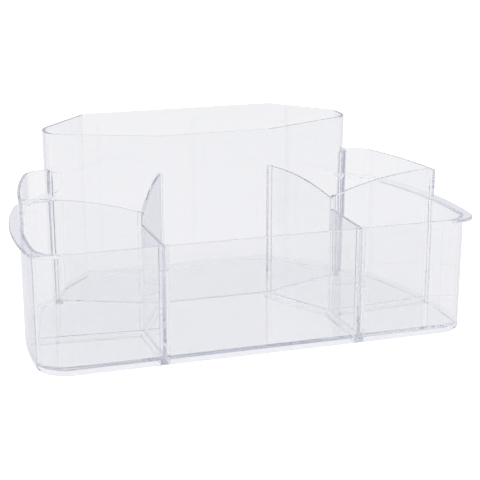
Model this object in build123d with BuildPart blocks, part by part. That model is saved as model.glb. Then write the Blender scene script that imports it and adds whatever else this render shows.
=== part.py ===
from build123d import *

import os
from math import radians, tan

# Clear plastic makeup organizer: a floor pan carries a low tray with bowed sides, two bent dividers, two
# cross walls and a tall six-sided bin at the back. Every wall stands in a groove or rebate of the pan and
# is bonded to its neighbours through flared feet. X is the width, Y runs to the back and Z is up, all in
# millimetres, with the origin under the middle of the footprint.

# Overall sizes
overall_width = 280.0
overall_depth = 187.0
overall_height = 115.5

# Heights above the table
rim_height = 72.5
fin_height = 91.5
fork_height = 79.0
floor_top = 5.5

# Walls, floor and fits
wall = 2.0
floor_thickness = 2.5
groove_depth = 1.5
skirt_thickness = 2.5
rail_width = 6.0
fit_clearance = 0.05
edge_round = 0.7
front_foot_width = 6.0
rear_foot_width = 3.4
foot_depth = 1.8
skirt_round = 1.2

# Tray outline at rim height: how far its sides stand inside the overall width, and depths as shares
side_overhang = 5.5
front_taper = 1.2
rear_taper = 18.5
waist_depth_share = 0.2353
tray_depth_share = 0.7059
front_corner_radius = 19.0
rear_corner_radius = 15.0
tray_draft = 0.6

# Outward rim lip
lip_thickness = 2.2
lip_front_overhang = 3.7
lip_front_radius = 12.0
lip_corner_overhang = 10.0
lip_corner_depth_share = 0.6471
lip_corner_radius = 20.0
lip_round = 0.8
lip_setback = 0.4
lip_start_overlap = 6.0
lip_tail_share = 0.25

# Bin outline at its rim, as shares of the overall width and depth, of the bin's width and of its end
bin_width_share = 0.7336
bin_front_width_share = 0.3603
bin_back_width_share = 0.6553
bin_front_depth_share = 0.5241
bin_end_front_depth_share = 0.6711
bin_end_back_depth_share = 0.7861
bin_end_radius_share = 0.744
bin_corner_radius = 4.5
bin_draft = 0.5

# Dividers, as shares of the overall width and depth
divider_spacing_share = 0.4357
fork_depth_share = 0.2727
cross_end_depth_share = 0.3075

# Places that follow from the sizes above
front = -overall_depth / 2
back = overall_depth / 2
seat = floor_top - groove_depth
pocket_top = floor_top - floor_thickness
tray_waist_width = overall_width - 2 * side_overhang
tray_front_width = tray_waist_width - 2 * front_taper
tray_rear_width = tray_waist_width - 2 * rear_taper
waist_y = front + overall_depth * waist_depth_share
tray_back_y = front + overall_depth * tray_depth_share
corner_seam_x = tray_front_width / 2 - front_corner_radius
fork_depth = overall_depth * fork_depth_share
fork = Vector(overall_width * divider_spacing_share / 2, front + fork_depth)
cross_end = Vector(tray_waist_width / 2, front + overall_depth * cross_end_depth_share)
side_seam_y = cross_end.Y - rear_foot_width / 2 - wall
step_y = fork.Y - front_foot_width / 2
bin_width = overall_width * bin_width_share
bin_front_y = front + overall_depth * bin_front_depth_share
bin_front_corner = Vector(bin_width * bin_front_width_share / 2, bin_front_y)
bin_end_front = Vector(bin_width / 2, front + overall_depth * bin_end_front_depth_share)
bin_end_back = Vector(bin_width / 2, front + overall_depth * bin_end_back_depth_share)
bin_back_corner = Vector(bin_width * bin_back_width_share / 2, back)
bin_end_radius = (bin_end_back.Y - bin_end_front.Y) * bin_end_radius_share
fin_run = bin_front_corner - fork
fin_direction = fin_run.normalized()
fin_end = fork + fin_direction * (fin_run.length + wall)
cross_run = cross_end - fork


def tray_outline(grow):
    """The tray's plan at rim height, grown by an amount."""
    with BuildSketch() as outline:
        with BuildLine():
            front_edge = Line((-tray_front_width / 2, front), (tray_front_width / 2, front))
            right_side = ThreePointArc(
                front_edge @ 1,
                (tray_waist_width / 2, waist_y),
                (tray_rear_width / 2, tray_back_y),
            )
            rear_edge = Line(right_side @ 1, (-tray_rear_width / 2, tray_back_y))
            ThreePointArc(rear_edge @ 1, (-tray_waist_width / 2, waist_y), front_edge @ 0)
        make_face()
        fillet(outline.vertices().group_by(Axis.Y)[0], front_corner_radius)
        fillet(outline.vertices().group_by(Axis.Y)[-1], rear_corner_radius)
        offset(amount=grow)
    return outline.sketch


def bin_outline(grow):
    """The bin's plan at its rim, grown by an amount."""
    right_corners = (bin_front_corner, bin_end_front, bin_end_back, bin_back_corner)
    left_corners = [Vector(-corner.X, corner.Y) for corner in reversed(right_corners)]
    with BuildSketch() as outline:
        with BuildLine():
            Polyline(*right_corners, *left_corners, close=True)
        make_face()
        for row in (0, -1):
            fillet(outline.vertices().group_by(Axis.Y)[row], bin_corner_radius)
        for column in (0, -1):
            fillet(outline.vertices().group_by(Axis.X)[column], bin_end_radius)
        offset(amount=grow)
    return outline.sketch


def tray_block(inset, top):
    """A solid from the table up to a height, inside the tray's drafted outer face by an inset."""
    with BuildPart() as block:
        for level in (0, top):
            with BuildSketch(Plane.XY.offset(level)):
                add(tray_outline((level - rim_height) * tan(radians(tray_draft)) - inset))
        loft(ruled=True)
    return block.part


def bin_block(inset, top):
    """A solid from the table up to a height, inside the bin's drafted outer face by an inset."""
    with BuildPart() as block:
        for level in (0, top):
            with BuildSketch(Plane.XY.offset(level)):
                add(bin_outline((level - overall_height) * tan(radians(bin_draft)) - inset))
        loft(ruled=True)
    return block.part


def divider_stroke(width):
    """The plan of the right divider as a band of a width, from the front face into the bin's wall."""
    with BuildSketch() as stroke:
        with BuildLine():
            Polyline((fork.X, front), fork, fin_end)
        trace(line_width=width)
        with Locations(fork):
            Circle(width / 2)
    return stroke.sketch


def cross_stroke(width):
    """The plan of the right cross wall as a band of a width, from the fork out past the side wall."""
    with BuildSketch() as stroke:
        with BuildLine():
            Line(fork, cross_end)
        trace(line_width=width)
    return stroke.sketch


def upright_plane(start, run):
    """An upright plane through a point, with its X along a run in plan and its Y up."""
    return Plane(origin=start, x_dir=run, z_dir=run.cross(Vector(0, 0, 1)))


def crest_edges(piece):
    """The long edges along a wall's top, where it is rounded over."""
    upper_edges = piece.edges().filter_by(lambda e: e.center().Z > rim_height - wall)
    return upper_edges.filter_by(lambda e: e.length > 2 * front_foot_width)


# Working solids that the walls and their feet are cut from
tray_outside = tray_block(0, overall_height)
tray_inside = tray_block(wall, overall_height)
bin_outside = bin_block(0, overall_height)

with BuildPart() as tray_ring:
    add(tray_outside)
    add(tray_inside, mode=Mode.SUBTRACT)

with BuildPart() as tray_foot_zone:
    add(tray_inside)
    add(tray_block(wall + foot_depth, overall_height), mode=Mode.SUBTRACT)

with BuildPart() as bin_foot_zone:
    add(bin_block(-foot_depth, overall_height))
    add(bin_outside, mode=Mode.SUBTRACT)

# Front wall, flat between the two corners
with BuildPart() as front_panel:
    add(tray_ring.part)
    with BuildSketch(Plane.XY.offset(seat)):
        with Locations((0, front)):
            Rectangle(2 * corner_seam_x, fork_depth)
    extrude(amount=rim_height - seat, mode=Mode.INTERSECT)
    fillet(crest_edges(front_panel), edge_round)

# Side wall with the front corner, up to the cross wall's foot
with BuildPart() as side_panel:
    add(tray_ring.part)
    with BuildSketch(Plane.XY.offset(seat)):
        with Locations((corner_seam_x, side_seam_y)):
            Rectangle(overall_width, overall_depth, align=(Align.MIN, Align.MAX))
    extrude(amount=rim_height - seat, mode=Mode.INTERSECT)
    fillet(crest_edges(side_panel), edge_round)

# Taller rear wall that curves round the rear compartment to a foot on the bin's end
with BuildPart() as rear_corner:
    add(tray_block((wall - rear_foot_width) / 2, overall_height))
    add(tray_block((wall + rear_foot_width) / 2, overall_height), mode=Mode.SUBTRACT)
    add(bin_foot_zone.part, mode=Mode.INTERSECT)
    with BuildSketch():
        Rectangle(2 * overall_width, 2 * overall_depth)
    extrude(amount=floor_top, mode=Mode.SUBTRACT)
    add(tray_ring.part)
    with BuildSketch(Plane.XY.offset(seat)):
        with Locations((0, side_seam_y)):
            Rectangle(overall_width, overall_depth, align=(Align.MIN, Align.MIN))
    extrude(amount=fin_height - seat, mode=Mode.INTERSECT)
    add(bin_outside, mode=Mode.SUBTRACT)
    fillet(crest_edges(rear_corner), edge_round)

# Rim lip outside the side and rear walls, running out along the bin's back facet
lip_tail = bin_end_back + (bin_back_corner - bin_end_back) * lip_tail_share
with BuildPart() as rim_lip:
    with BuildSketch(Plane.XY.offset(rim_height - lip_thickness)) as lip_plan:
        with BuildLine():
            lip_front = Line(
                (0, front + lip_setback),
                (tray_front_width / 2 + lip_front_overhang, front + lip_setback),
            )
            lip_side = ThreePointArc(
                lip_front @ 1,
                (overall_width / 2, waist_y),
                (tray_rear_width / 2 + lip_corner_overhang, front + overall_depth * lip_corner_depth_share),
            )
            lip_rear = Line(lip_side @ 1, lip_tail)
            Polyline(lip_rear @ 1, (0, lip_tail.Y), lip_front @ 0)
        make_face()
        fillet(lip_plan.vertices().sort_by_distance(lip_front @ 1)[0], lip_front_radius)
        fillet(lip_plan.vertices().sort_by_distance(lip_side @ 1)[0], lip_corner_radius)
    extrude(amount=lip_thickness)
    fillet(rim_lip.edges().filter_by(Axis.Z, reverse=True), lip_round)
    with BuildSketch(Plane.XY.offset(rim_height - lip_thickness)):
        with Locations((corner_seam_x + lip_start_overlap, 0)):
            Rectangle(2 * corner_seam_x, overall_depth, align=(Align.MAX, Align.MAX))
    extrude(amount=lip_thickness, mode=Mode.SUBTRACT)
    add(tray_outside, mode=Mode.SUBTRACT)
    add(bin_outside, mode=Mode.SUBTRACT)
    add(rear_corner.part, mode=Mode.SUBTRACT)

# Tall bin behind the compartments
with BuildPart() as rear_bin:
    add(bin_outside)
    add(bin_block(wall, overall_height), mode=Mode.SUBTRACT)
    with BuildSketch():
        Rectangle(2 * overall_width, 2 * overall_depth)
    extrude(amount=seat, mode=Mode.SUBTRACT)
    split(bisect_by=Plane.YZ)
    fillet(crest_edges(rear_bin), edge_round)
    mirror(about=Plane.YZ)

# Divider: straight from the front wall to the fork, then a diagonal fin whose top arches up to the bin
with BuildPart() as above_divider:
    with BuildSketch(upright_plane(fork, fin_run)):
        with BuildLine():
            arch = TangentArc((fin_run.length, fin_height), (0, fork_height), tangent=(-1, 0))
            Polyline(
                arch @ 1,
                (-fork_depth, fork_height),
                (-fork_depth, overall_height),
                (fin_run.length, overall_height),
                arch @ 0,
            )
        make_face()
    extrude(amount=overall_width, both=True)
    with BuildSketch(Plane.XY.offset(rim_height)):
        with Locations((0, step_y)):
            Rectangle(overall_width, overall_depth, align=(Align.CENTER, Align.MAX))
    extrude(amount=overall_height)

with BuildPart() as front_foot:
    with BuildSketch(Plane.XY.offset(floor_top)):
        add(divider_stroke(front_foot_width))
    extrude(amount=fin_height - floor_top)
    add(tray_foot_zone.part, mode=Mode.INTERSECT)
    add(above_divider.part, mode=Mode.SUBTRACT)

with BuildPart() as fin_foot:
    with BuildSketch(Plane.XY.offset(floor_top)):
        add(divider_stroke(rear_foot_width))
    extrude(amount=fin_height - floor_top)
    add(bin_foot_zone.part, mode=Mode.INTERSECT)
    add(above_divider.part, mode=Mode.SUBTRACT)

with BuildPart() as divider_run:
    with BuildSketch(Plane.XY.offset(seat)):
        with BuildLine():
            Line((fork.X, front), fork)
        trace(line_width=wall)
        with Locations(fork):
            Circle(wall / 2)
    extrude(amount=fork_height - seat)
    add(above_divider.part, mode=Mode.SUBTRACT)
    fillet(crest_edges(divider_run), edge_round)

with BuildPart() as divider:
    with BuildSketch(Plane.XY.offset(seat)):
        with BuildLine():
            Line(fork, fin_end)
        trace(line_width=wall)
    extrude(amount=fin_height - seat)
    add(above_divider.part, mode=Mode.SUBTRACT)
    fillet(crest_edges(divider), edge_round)
    add(divider_run.part)
    add(tray_inside, mode=Mode.INTERSECT)
    add(bin_outside, mode=Mode.SUBTRACT)
    add(front_foot.part)
    add(fin_foot.part)

# Cross wall from the fork to the side, with a foot at each end and a top that arches up to the side
cross_reach = cross_run.length - wall
fork_foot_side = fork + fin_direction * (rear_foot_width / 2 / fin_direction.Y)
with BuildPart() as above_cross_wall:
    with BuildSketch(upright_plane(fork, cross_run)):
        with BuildLine():
            cross_arch = TangentArc((cross_reach, fin_height), (-wall, fork_height), tangent=(-1, 0))
            Polyline(
                cross_arch @ 1,
                (-front_foot_width, fork_height),
                (-front_foot_width, overall_height),
                (cross_reach, overall_height),
                cross_arch @ 0,
            )
        make_face()
    extrude(amount=overall_depth, both=True)

with BuildPart() as cross_feet:
    with BuildSketch(Plane.XY.offset(floor_top)):
        add(cross_stroke(rear_foot_width))
    extrude(amount=fin_height - floor_top)
    add(tray_foot_zone.part, mode=Mode.INTERSECT)
    with BuildSketch(Plane.XY.offset(floor_top)):
        with BuildLine():
            Polyline(
                fork_foot_side,
                fork,
                (fork.X, fork.Y - rear_foot_width / 2),
                (fork.X + front_foot_width, fork.Y - rear_foot_width / 2),
                (fork.X + front_foot_width, fork.Y + rear_foot_width / 2),
                close=True,
            )
        make_face()
        add(divider_stroke(wall + 2 * foot_depth), mode=Mode.INTERSECT)
    extrude(amount=fin_height - floor_top)
    add(above_cross_wall.part, mode=Mode.SUBTRACT)

with BuildPart() as cross_wall:
    with BuildSketch(Plane.XY.offset(seat)):
        add(cross_stroke(wall))
    extrude(amount=fin_height - seat)
    add(above_cross_wall.part, mode=Mode.SUBTRACT)
    fillet(crest_edges(cross_wall), edge_round)
    add(tray_inside, mode=Mode.INTERSECT)
    add(cross_feet.part)
    add(divider.part, mode=Mode.SUBTRACT)

# Floor pan with a skirt and rails under it; every wall stands at the seat height
with BuildPart() as pocket:
    add(tray_block(skirt_thickness, pocket_top))
    add(bin_block(skirt_thickness, pocket_top))
    with BuildSketch():
        add(divider_stroke(rail_width))
        add(cross_stroke(rail_width))
        mirror(about=Plane.YZ)
    extrude(amount=pocket_top, mode=Mode.SUBTRACT)

with BuildPart() as base_pan:
    add(tray_block(wall + fit_clearance, floor_top))
    with BuildSketch(Plane.XY.offset(seat)):
        add(divider_stroke(wall + 2 * fit_clearance))
        add(cross_stroke(wall + 2 * fit_clearance))
        mirror(about=Plane.YZ)
    extrude(amount=floor_top, mode=Mode.SUBTRACT)
    add(bin_block(-fit_clearance, floor_top), mode=Mode.SUBTRACT)
    add(bin_block(wall + fit_clearance, floor_top))
    add(tray_block(0, seat))
    add(bin_block(0, seat))
    add(pocket.part, mode=Mode.SUBTRACT)
    fillet(base_pan.faces().sort_by(Axis.Z)[0].outer_wire().edges(), skirt_round)

# One file for each piece, with the handed pieces mirrored to the left
os.makedirs("parts", exist_ok=True)
for piece, name in ((base_pan, "base_pan"), (front_panel, "front_panel"), (rear_bin, "rear_bin")):
    piece.part.label = name
    export_step(piece.part, f"parts/{name}.step")

handed_pieces = (
    (side_panel, "side_panel"),
    (rear_corner, "rear_corner"),
    (rim_lip, "rim_lip"),
    (divider, "divider"),
    (cross_wall, "cross_wall"),
)
for piece, name in handed_pieces:
    with BuildPart() as left_piece:
        mirror(piece.part, about=Plane.YZ)
    piece.part.label = f"{name}_right"
    left_piece.part.label = f"{name}_left"
    export_step(piece.part, f"parts/{name}_right.step")
    export_step(left_piece.part, f"parts/{name}_left.step")
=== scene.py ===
import math

import bmesh
import bpy
from mathutils import Matrix, Vector
from mathutils.bvhtree import BVHTree
from mathutils.geometry import tessellate_polygon
from mathutils.kdtree import KDTree


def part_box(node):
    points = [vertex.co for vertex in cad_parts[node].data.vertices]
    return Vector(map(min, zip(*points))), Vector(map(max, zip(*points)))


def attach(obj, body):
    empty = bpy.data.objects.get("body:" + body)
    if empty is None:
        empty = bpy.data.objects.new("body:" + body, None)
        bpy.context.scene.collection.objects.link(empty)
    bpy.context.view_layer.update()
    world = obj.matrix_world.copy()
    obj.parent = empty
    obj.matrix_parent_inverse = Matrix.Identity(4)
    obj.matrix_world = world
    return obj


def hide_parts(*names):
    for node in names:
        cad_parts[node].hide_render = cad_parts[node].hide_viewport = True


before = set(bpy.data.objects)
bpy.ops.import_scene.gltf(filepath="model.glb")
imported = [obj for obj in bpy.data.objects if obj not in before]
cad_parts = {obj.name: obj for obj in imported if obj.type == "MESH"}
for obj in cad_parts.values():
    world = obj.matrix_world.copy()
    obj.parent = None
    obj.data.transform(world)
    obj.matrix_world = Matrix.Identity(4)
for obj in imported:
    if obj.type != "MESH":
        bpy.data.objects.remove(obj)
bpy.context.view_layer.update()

scene = bpy.context.scene

# Sizes in metres
WELD = 0.0000002
CUT = 0.000005
BOND_GAP = 0.00003
TOUCH = 0.00012
FOOT_REACH = 0.0079
FOOT_BELOW_CREST = 0.0008
FOOT_DEPTH = 0.0040
FOOT_TIP = 0.0003
FLOOR_DROP = 0.0002
FLOOR_SIZE = 12.0

# Strips across a bin end foot, each thicker than the last, and the decimals that rank its corners
FOOT_STEPS = 6
ORDER_DIGITS = 7

# Faces that turn by less than this are one flat face, or are shaded as one curve
FLAT_ANGLE = math.radians(0.1)
SMOOTH_ANGLE = math.radians(25)

# Cosines between faces, for the rear walls' fronts, bond lines, bonded faces and faces under a line
FRONT_FACING = -0.99
LINE_FACING = -0.985
BOND_FACING = -0.9
UNDER_FACING = 0.97

# Where a face is tested for a bond, from a triangle's middle towards its corners
CORNER_SHARE = 0.95

# Weight of a face's own normal, beside the areas of the free faces around a corner
OWN_NORMAL = 0.000001

# Glow of the white table, as the plastic shows it and as the camera sees it
FLOOR_GLOW_IN_PLASTIC = 0.385
FLOOR_GLOW_IN_VIEW = 0.68
TABLE_COLOUR = (0.5, 0.5, 0.507, 1.0)

# Brightness of the room by the height of its walls, as the plastic shows it
ROOM_STOPS = (
    (0.18, (0.89, 0.893, 0.91, 1.0)),
    (0.45, (0.8, 0.805, 0.84, 1.0)),
    (0.9, (0.9, 0.9, 0.92, 1.0)),
)

# Lamps: place, aim, width and height in metres, power in watts
SOFT_BOXES = {
    "overhead_box": ((0.0, 0.1, 1.3), (0, 0, 0), 1.6, 1.2, 5.0),
    "left_box": ((-1.3, -0.3, 0.8), (0, 0, 0.05), 0.9, 0.9, 3.0),
}

# Camera of the photograph, with its turns in degrees and its lens in millimetres
CAMERA_PLACE = (-0.26516, -0.83985, 0.2944)
CAMERA_AZIMUTH = -18.46
CAMERA_ELEVATION = 15.77
CAMERA_LENS = 106.15
CAMERA_SENSOR = 36.0
CAMERA_SIGHT = 50.0

# Light goes through many walls before it leaves the organizer
WALL_BOUNCES = 96
SHADOW_BOUNCES = 64

# Clear styrene
PLASTIC_IOR = 1.49
PLASTIC_TINT = (0.969, 0.97, 0.973, 1.0)
# Painted shade, mixed into the base colour where the camera sees a face at a slant
SLANT_PAINTED_SHADE = (0.54, 0.55, 0.64, 1.0)
EDGE_TINT = (0.5, 0.525, 0.64, 1.0)
EDGE_DENSITY = 5.0
SHADOW_TINT = (0.975, 0.975, 0.983, 1.0)
# Facing at which the painted slant shade starts
SLANT_START = 0.35

# Handling scuffs: noise scale, detail and roughness, and the noise levels between which they come in
SCUFF_SCALE = 140.0
SCUFF_DETAIL = 5.0
SCUFF_GRAIN = 0.65
SCUFF_FROM = 0.55
SCUFF_TO = 0.8

# Moulding waves per metre, their depth in metres, scuffs and polish
WALL_FINISH = (14.0, 0.00002, 0.05, 0.01)
PAN_FINISH = (18.0, 0.00003, 0.12, 0.03)

# Sockets of a colour mix
MIX_FACTOR = 0
MIX_FIRST = 6
MIX_SECOND = 7
MIX_RESULT = 2


# Node helpers
def node(tree, kind, place, **settings):
    made = tree.nodes.new(kind)
    made.location = place
    for name, value in settings.items():
        setattr(made, name, value)
    return made


def link(tree, source, target):
    tree.links.new(source, target)


def fresh_material(name):
    material = bpy.data.materials.new(name)
    material.use_nodes = True
    material.node_tree.nodes.clear()
    return material


# Polish, faint moulding waves and handling scuffs, shared by every plastic
def moulded_surface_group():
    group = bpy.data.node_groups.new("moulded_surface", "ShaderNodeTree")
    sockets = group.interface
    for name in ("Wave Size", "Scuff Amount", "Polish"):
        sockets.new_socket(name, in_out="INPUT", socket_type="NodeSocketFloat")
    for name in ("Roughness", "Height"):
        sockets.new_socket(name, in_out="OUTPUT", socket_type="NodeSocketFloat")
    enter = node(group, "NodeGroupInput", (-900, 0))
    leave = node(group, "NodeGroupOutput", (500, 0))
    place = node(group, "ShaderNodeTexCoord", (-900, -300))
    waves = node(group, "ShaderNodeTexNoise", (-600, 100))
    waves.inputs["Detail"].default_value = 1.0
    link(group, place.outputs["Object"], waves.inputs["Vector"])
    link(group, enter.outputs["Wave Size"], waves.inputs["Scale"])
    scuffs = node(group, "ShaderNodeTexNoise", (-600, -250))
    scuffs.inputs["Scale"].default_value = SCUFF_SCALE
    scuffs.inputs["Detail"].default_value = SCUFF_DETAIL
    scuffs.inputs["Roughness"].default_value = SCUFF_GRAIN
    link(group, place.outputs["Object"], scuffs.inputs["Vector"])
    worn = node(group, "ShaderNodeMapRange", (-350, -250))
    worn.inputs["From Min"].default_value = SCUFF_FROM
    worn.inputs["From Max"].default_value = SCUFF_TO
    link(group, scuffs.outputs["Fac"], worn.inputs["Value"])
    amount = node(group, "ShaderNodeMath", (-120, -250), operation="MULTIPLY")
    link(group, worn.outputs["Result"], amount.inputs[0])
    link(group, enter.outputs["Scuff Amount"], amount.inputs[1])
    rough = node(group, "ShaderNodeMath", (120, -200), operation="ADD")
    link(group, amount.outputs[0], rough.inputs[0])
    link(group, enter.outputs["Polish"], rough.inputs[1])
    link(group, rough.outputs[0], leave.inputs["Roughness"])
    link(group, waves.outputs["Fac"], leave.inputs["Height"])


# Clear plastic, with painted shade where the camera sees the first face at a slant, and a deeper
# colour along the edges
def clear_plastic(name, wave_size, wave_depth, scuff, polish):
    material = fresh_material(name)
    tree = material.node_tree
    out = node(tree, "ShaderNodeOutputMaterial", (900, 0))
    surface = node(tree, "ShaderNodeGroup", (-500, 0))
    surface.node_tree = bpy.data.node_groups["moulded_surface"]
    surface.inputs["Wave Size"].default_value = wave_size
    surface.inputs["Scuff Amount"].default_value = scuff
    surface.inputs["Polish"].default_value = polish
    bump = node(tree, "ShaderNodeBump", (-250, -200))
    bump.inputs["Strength"].default_value = 1.0
    bump.inputs["Distance"].default_value = wave_depth
    link(tree, surface.outputs["Height"], bump.inputs["Height"])
    plastic = node(tree, "ShaderNodeBsdfPrincipled", (0, 0))
    # Painted shade: at the camera's first hit, the base colour darkens as the face is seen more at a
    # slant
    graze = node(tree, "ShaderNodeLayerWeight", (-800, 300))
    slant = node(tree, "ShaderNodeMapRange", (-600, 300), interpolation_type="SMOOTHSTEP")
    slant.inputs["From Min"].default_value = SLANT_START
    link(tree, graze.outputs["Facing"], slant.inputs["Value"])
    first_hit = node(tree, "ShaderNodeMath", (-400, 300), operation="MULTIPLY")
    link(tree, slant.outputs["Result"], first_hit.inputs[0])
    tint_and_slant_shade = node(tree, "ShaderNodeMix", (-200, 300), data_type="RGBA")
    tint_and_slant_shade.inputs[MIX_FIRST].default_value = PLASTIC_TINT
    tint_and_slant_shade.inputs[MIX_SECOND].default_value = SLANT_PAINTED_SHADE
    link(tree, first_hit.outputs[0], tint_and_slant_shade.inputs[MIX_FACTOR])
    link(tree, tint_and_slant_shade.outputs[MIX_RESULT], plastic.inputs["Base Color"])
    plastic.inputs["Transmission Weight"].default_value = 1.0
    plastic.inputs["IOR"].default_value = PLASTIC_IOR
    link(tree, surface.outputs["Roughness"], plastic.inputs["Roughness"])
    link(tree, bump.outputs["Normal"], plastic.inputs["Normal"])
    shade = node(tree, "ShaderNodeBsdfTransparent", (0, -400))
    shade.inputs["Color"].default_value = SHADOW_TINT
    path = node(tree, "ShaderNodeLightPath", (200, 400))
    link(tree, path.outputs["Is Camera Ray"], first_hit.inputs[1])
    lamp_light = node(tree, "ShaderNodeMixShader", (350, 0))
    link(tree, path.outputs["Is Shadow Ray"], lamp_light.inputs["Fac"])
    link(tree, plastic.outputs["BSDF"], lamp_light.inputs[1])
    link(tree, shade.outputs["BSDF"], lamp_light.inputs[2])
    room_light = node(tree, "ShaderNodeMixShader", (530, 0))
    link(tree, path.outputs["Is Diffuse Ray"], room_light.inputs["Fac"])
    link(tree, lamp_light.outputs["Shader"], room_light.inputs[1])
    link(tree, shade.outputs["BSDF"], room_light.inputs[2])
    # No air lies between two bonded panels, so light goes straight on through their bonded faces
    joint = node(tree, "ShaderNodeAttribute", (530, 300), attribute_name="bonded")
    through = node(tree, "ShaderNodeBsdfTransparent", (530, -150))
    skin = node(tree, "ShaderNodeMixShader", (710, 0))
    link(tree, joint.outputs["Fac"], skin.inputs["Fac"])
    link(tree, room_light.outputs["Shader"], skin.inputs[1])
    link(tree, through.outputs["BSDF"], skin.inputs[2])
    link(tree, skin.outputs["Shader"], out.inputs["Surface"])
    body = node(tree, "ShaderNodeVolumeAbsorption", (710, -300))
    body.inputs["Color"].default_value = EDGE_TINT
    body.inputs["Density"].default_value = EDGE_DENSITY
    link(tree, body.outputs["Volume"], out.inputs["Volume"])
    return material


# How large each face was moulded, kept while it is scored into smaller ones
def note_areas(shell):
    layers = shell.faces.layers.float
    size = layers.get("panel_area") or layers.new("panel_area")
    for face in shell.faces:
        face[size] = face.calc_area()


# Panels: a merged copy of each solid, without stray faces
def merged_shell(name):
    shell = bmesh.new()
    shell.from_mesh(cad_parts[name].data)
    bmesh.ops.remove_doubles(shell, verts=shell.verts, dist=WELD)
    bmesh.ops.dissolve_limit(
        shell,
        angle_limit=FLAT_ANGLE,
        use_dissolve_boundaries=False,
        verts=shell.verts,
        edges=shell.edges,
        delimit={"NORMAL"},
    )
    stray = [face for face in shell.faces if any(edge.is_boundary for edge in face.edges)]
    bmesh.ops.delete(shell, geom=stray, context="FACES")
    bmesh.ops.recalc_face_normals(shell, faces=shell.faces)
    shell.normal_update()
    note_areas(shell)
    return shell


# Cuts a shell along a plane, and clears what lies past it unless told to keep it
def trim(shell, place, away, clear=True):
    bmesh.ops.bisect_plane(
        shell,
        geom=shell.verts[:] + shell.edges[:] + shell.faces[:],
        dist=CUT,
        plane_co=place,
        plane_no=away,
        clear_outer=clear,
    )


# Growing a shell leaves its corners and faces in any order, so they are put in the same one each run
def in_fixed_order(shell):
    ranked = sorted(shell.verts, key=lambda vert: [round(k, ORDER_DIGITS) for k in vert.co])
    rank = {vert: i for i, vert in enumerate(ranked)}
    rings = []
    for face in shell.faces:
        ring = [rank[vert] for vert in face.verts]
        first = ring.index(min(ring))
        rings.append(ring[first:] + ring[:first])
    settled = bmesh.new()
    spots = [settled.verts.new(vert.co) for vert in ranked]
    for ring in sorted(rings):
        settled.faces.new([spots[i] for i in ring])
    shell.free()
    return settled


# Foot that carries on from the rear wall along the bin's face and thins out there
def bin_end_foot(bin_shell, wall_shell, side):
    up = Vector((0, 0, 1))
    low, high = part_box("rear_bin")
    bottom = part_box("base_pan")[1].z
    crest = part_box("rear_corner_right")[1].z - FOOT_BELOW_CREST
    fronts = [face for face in wall_shell.faces if face.normal.y < FRONT_FACING]
    seam = min(fronts, key=lambda face: abs(face.calc_center_median().x))
    behind = -seam.normal
    seam_spot = seam.calc_center_median()
    ahead = Vector((side * (high.x - FOOT_REACH), low.y - FOOT_DEPTH, (bottom + crest) / 2))
    spot, outward, index, gap = BVHTree.FromBMesh(bin_shell).ray_cast(ahead, Vector((0, 1, 0)))
    tip = outward.cross(up) * side
    foot = bin_shell.copy()
    trim(foot, spot, tip)
    trim(foot, seam_spot + behind * FOOT_DEPTH, behind)
    trim(foot, up * crest, up)
    trim(foot, up * bottom, -up)
    inner = [face for face in foot.faces if face.normal.dot(outward) < 0]
    bmesh.ops.delete(foot, geom=inner, context="FACES")
    for step in range(1, FOOT_STEPS):
        trim(foot, spot - tip * FOOT_REACH * step / FOOT_STEPS, tip, clear=False)
    reach = max((spot - vert.co).dot(tip) for vert in foot.verts)
    made = bmesh.ops.extrude_face_region(foot, geom=foot.faces[:], use_keep_orig=True)
    foot.normal_update()
    for vert in (item for item in made["geom"] if isinstance(item, bmesh.types.BMVert)):
        share = (spot - vert.co).dot(tip) / reach
        vert.co += vert.normal * (FOOT_TIP + (FOOT_DEPTH - FOOT_TIP) * share ** 2)
    trim(foot, seam_spot, behind)
    bmesh.ops.holes_fill(foot, edges=[edge for edge in foot.edges if edge.is_boundary])
    bmesh.ops.recalc_face_normals(foot, faces=foot.faces)
    foot = in_fixed_order(foot)
    foot.normal_update()
    note_areas(foot)
    return foot


# Normal of the neighbour that a point touches, if any
def touched_normal(tree, point):
    spot, normal, index, gap = tree.find_nearest(point, TOUCH)
    return normal


# Scores a panel along the outline of everything bonded to it
def score_bond_lines(shell, tree, neighbour):
    for edge in neighbour.edges:
        start, stop = (v.co for v in edge.verts)
        middle = (start + stop) / 2
        normal = touched_normal(tree, middle)
        if normal is None or edge.calc_length() < TOUCH:
            continue
        if touched_normal(tree, start) is None or touched_normal(tree, stop) is None:
            continue
        flat = [face.normal.dot(normal) < LINE_FACING for face in edge.link_faces]
        if sum(flat) != 1:
            continue
        low = Vector(map(min, start, stop)) - Vector((TOUCH, TOUCH, TOUCH))
        high = Vector(map(max, start, stop)) + Vector((TOUCH, TOUCH, TOUCH))
        under = []
        for face in shell.faces:
            if face.normal.dot(normal) < UNDER_FACING:
                continue
            if abs((middle - face.verts[0].co).dot(face.normal)) > 2 * TOUCH:
                continue
            spans = [[v.co[i] for v in face.verts] for i in range(3)]
            if all(max(span) > low[i] and min(span) < high[i] for i, span in enumerate(spans)):
                under.append(face)
        rims = dict.fromkeys(e for face in under for e in face.edges)
        dots = dict.fromkeys(v for face in under for v in face.verts)
        bmesh.ops.bisect_plane(
            shell,
            geom=under + list(rims) + list(dots),
            dist=CUT,
            plane_co=middle,
            plane_no=(stop - start).cross(normal).normalized(),
        )


# A face is bonded where its middle and its corners all touch a neighbour that faces it
def lies_bonded(face, trees):
    corners = [v.co for v in face.verts]
    for triangle in tessellate_polygon([corners]):
        middle = sum((corners[i] for i in triangle), Vector()) / 3
        for point in [middle] + [middle.lerp(corners[i], CORNER_SHARE) for i in triangle]:
            found = [touched_normal(tree, point) for tree in trees]
            if not any(n is not None and n.dot(face.normal) < BOND_FACING for n in found):
                return False
    return True


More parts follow.
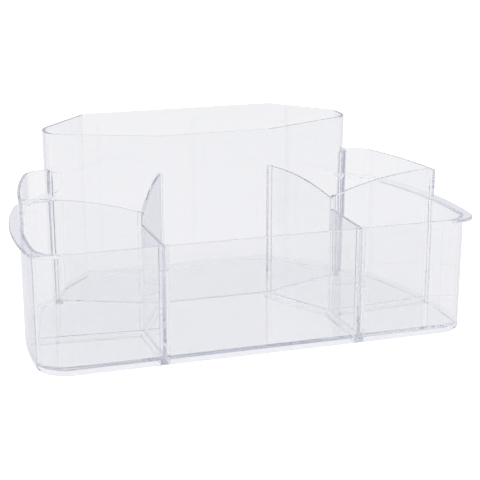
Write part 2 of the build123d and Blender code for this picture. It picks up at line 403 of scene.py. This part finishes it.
# Marks the bonded faces of every panel
def bond(shells):
    trees = {name: BVHTree.FromBMesh(shell) for name, shell in shells.items()}
    outlines = {name: shell.copy() for name, shell in shells.items()}
    for name, shell in shells.items():
        for other in shells:
            if other != name:
                score_bond_lines(shell, trees[name], outlines[other])
        shell.normal_update()
        others = [tree for other, tree in trees.items() if other != name]
        bonded = shell.faces.layers.float.new("bonded")
        for face in shell.faces:
            face[bonded] = 1.0 if lies_bonded(face, others) else 0.0
    for outline in outlines.values():
        outline.free()


# Shading normals that run on from one panel to the next across a bonded seam, led by the larger faces
def seam_normals(shells):
    corners = []
    for shell in shells.values():
        size = shell.faces.layers.float["panel_area"]
        bonded = shell.faces.layers.float["bonded"]
        for face in shell.faces:
            if not face[bonded]:
                corners += [(v.co.copy(), face.normal.copy(), face[size]) for v in face.verts]
    tree = KDTree(len(corners))
    for i, corner in enumerate(corners):
        tree.insert(corner[0], i)
    tree.balance()
    limit = math.cos(SMOOTH_ANGLE)
    normals = {}
    for name, shell in shells.items():
        normals[name] = []
        for face in shell.faces:
            for vert in face.verts:
                total = face.normal * OWN_NORMAL
                for spot, i, gap in tree.find_range(vert.co, TOUCH):
                    if corners[i][1].dot(face.normal) > limit:
                        total += corners[i][1] * corners[i][2]
                normals[name].append(total.normalized())
    return normals


# Each panel is drawn in by a hair, so that bonded faces don't share a plane
def panel(name, shell, normals, material):
    shell.faces.layers.float.remove(shell.faces.layers.float["panel_area"])
    for vert in shell.verts:
        vert.co -= vert.normal * BOND_GAP
    for edge in shell.edges:
        edge.smooth = edge.is_manifold and edge.calc_face_angle() < SMOOTH_ANGLE
    for face in shell.faces:
        face.smooth = True
    mesh = bpy.data.meshes.new(name + "_shell")
    shell.to_mesh(mesh)
    shell.free()
    mesh.normals_split_custom_set(normals)
    mesh.materials.append(material)
    piece = bpy.data.objects.new(name + "_shell", mesh)
    scene.collection.objects.link(piece)
    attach(piece, "root")
    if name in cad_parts:
        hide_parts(name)


# White table, with a glow that is stronger to the camera than to the plastic
def studio_floor():
    sheet = bmesh.new()
    bmesh.ops.create_grid(sheet, x_segments=1, y_segments=1, size=FLOOR_SIZE / 2)
    bmesh.ops.translate(sheet, verts=sheet.verts, vec=(0, 0, -FLOOR_DROP))
    mesh = bpy.data.meshes.new("studio_floor")
    sheet.to_mesh(mesh)
    sheet.free()
    material = fresh_material("white_table")
    tree = material.node_tree
    out = node(tree, "ShaderNodeOutputMaterial", (500, 0))
    matte = node(tree, "ShaderNodeBsdfDiffuse", (0, 100))
    matte.inputs["Color"].default_value = TABLE_COLOUR
    path = node(tree, "ShaderNodeLightPath", (-500, -100))
    level = node(tree, "ShaderNodeMapRange", (-250, -100))
    level.inputs["To Min"].default_value = FLOOR_GLOW_IN_PLASTIC
    level.inputs["To Max"].default_value = FLOOR_GLOW_IN_VIEW
    link(tree, path.outputs["Is Camera Ray"], level.inputs["Value"])
    glow = node(tree, "ShaderNodeEmission", (0, -100))
    link(tree, level.outputs["Result"], glow.inputs["Strength"])
    both = node(tree, "ShaderNodeAddShader", (250, 0))
    link(tree, matte.outputs["BSDF"], both.inputs[0])
    link(tree, glow.outputs["Emission"], both.inputs[1])
    link(tree, both.outputs["Shader"], out.inputs["Surface"])
    mesh.materials.append(material)
    floor = bpy.data.objects.new("studio_floor", mesh)
    scene.collection.objects.link(floor)


# Room that is white to the camera and a little grey to the plastic
def studio_world():
    world = bpy.data.worlds.new("white_studio")
    world.use_nodes = True
    tree = world.node_tree
    tree.nodes.clear()
    out = node(tree, "ShaderNodeOutputWorld", (700, 0))
    place = node(tree, "ShaderNodeTexCoord", (-700, 0))
    parts = node(tree, "ShaderNodeSeparateXYZ", (-500, 0))
    link(tree, place.outputs["Generated"], parts.inputs["Vector"])
    ramp = node(tree, "ShaderNodeValToRGB", (-300, 0))
    stops = ramp.color_ramp.elements
    for i, (height, colour) in enumerate(ROOM_STOPS):
        stop = stops[i] if i < len(stops) else stops.new(height)
        stop.position = height
        stop.color = colour
    link(tree, parts.outputs["Z"], ramp.inputs["Fac"])
    room = node(tree, "ShaderNodeBackground", (100, 100))
    link(tree, ramp.outputs["Color"], room.inputs["Color"])
    white = node(tree, "ShaderNodeBackground", (100, -100))
    white.inputs["Color"].default_value = (1.0, 1.0, 1.0, 1.0)
    path = node(tree, "ShaderNodeLightPath", (100, 400))
    pick = node(tree, "ShaderNodeMixShader", (450, 0))
    link(tree, path.outputs["Is Camera Ray"], pick.inputs["Fac"])
    link(tree, room.outputs["Background"], pick.inputs[1])
    link(tree, white.outputs["Background"], pick.inputs[2])
    link(tree, pick.outputs["Shader"], out.inputs["Surface"])
    scene.world = world


def soft_box(name, place, aim, width, height, power):
    data = bpy.data.lights.new(name, "AREA")
    data.shape = "RECTANGLE"
    data.size = width
    data.size_y = height
    data.energy = power
    lamp = bpy.data.objects.new(name, data)
    lamp.location = place
    lamp.rotation_euler = (Vector(aim) - Vector(place)).to_track_quat("-Z", "Y").to_euler()
    scene.collection.objects.link(lamp)


def photo_camera():
    azimuth = math.radians(CAMERA_AZIMUTH)
    elevation = math.radians(CAMERA_ELEVATION)
    back = Vector((
        math.sin(azimuth) * math.cos(elevation),
        -math.cos(azimuth) * math.cos(elevation),
        math.sin(elevation),
    ))
    right = Vector((math.cos(azimuth), math.sin(azimuth), 0))
    turn = Matrix((right, back.cross(right), back)).transposed().to_4x4()
    data = bpy.data.cameras.new("photo_camera")
    data.lens = CAMERA_LENS
    data.sensor_width = CAMERA_SENSOR
    data.sensor_fit = "HORIZONTAL"
    data.clip_end = CAMERA_SIGHT
    camera = bpy.data.objects.new("photo_camera", data)
    camera.matrix_world = Matrix.Translation(CAMERA_PLACE) @ turn
    scene.collection.objects.link(camera)
    scene.camera = camera


moulded_surface_group()
wall_plastic = clear_plastic("clear_walls", *WALL_FINISH)
pan_plastic = clear_plastic("clear_floor_pan", *PAN_FINISH)
shells = {name: merged_shell(name) for name in sorted(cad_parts)}
for side, hand in ((-1, "left"), (1, "right")):
    rear_wall = shells["rear_corner_" + hand]
    shells["bin_end_foot_" + hand] = bin_end_foot(shells["rear_bin"], rear_wall, side)
bond(shells)
normals = seam_normals(shells)
for name, shell in shells.items():
    panel(name, shell, normals[name], pan_plastic if name == "base_pan" else wall_plastic)

studio_floor()
studio_world()
for name, settings in SOFT_BOXES.items():
    soft_box(name, *settings)
photo_camera()

scene.view_settings.view_transform = "Standard"
scene.cycles.max_bounces = WALL_BOUNCES
scene.cycles.transmission_bounces = WALL_BOUNCES
scene.cycles.glossy_bounces = WALL_BOUNCES
scene.cycles.transparent_max_bounces = SHADOW_BOUNCES
scene.cycles.caustics_reflective = False
scene.cycles.caustics_refractive = False
